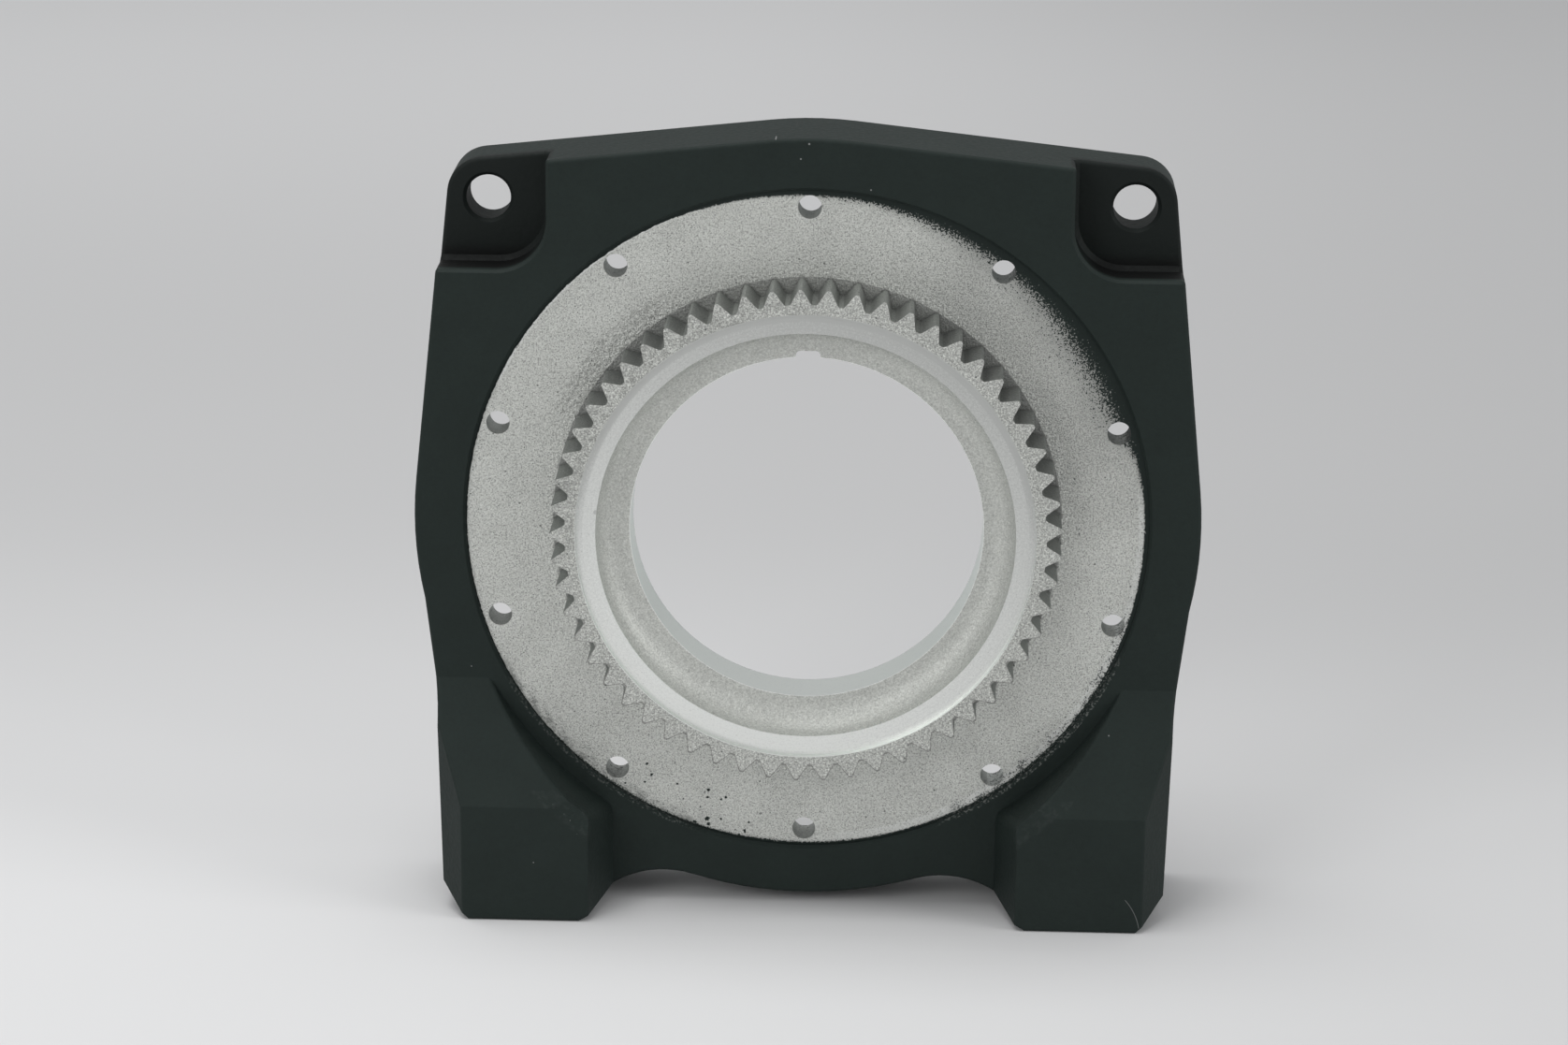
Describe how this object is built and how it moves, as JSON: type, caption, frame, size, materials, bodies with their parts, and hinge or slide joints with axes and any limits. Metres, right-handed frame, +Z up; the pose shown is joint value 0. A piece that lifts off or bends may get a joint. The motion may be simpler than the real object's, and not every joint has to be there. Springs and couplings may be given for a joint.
{
  "type": "gearbox base",
  "caption": "Upright cast plate on two feet, with a toothed ring boss round a central bore, a ring of bolt holes in a shallow recess and a holed ear at each top corner.",
  "frame": {"origin": "on the axis of the ring and bore, in the face that the gear housing is bolted to", "axes": "+Y from the gear side to the drum side along the bore axis, +Z up from the feet to the top, +X to the right as seen from the gear side"},
  "size_m": [0.16, 0.0347, 0.1624],
  "materials": {
    "casting": "matt black powder coat outside; bare blasted metal inside the recess and in the bore"
  },
  "bodies": {
    "root": {"gearbox_base": "casting"}
  },
  "joints": []
}
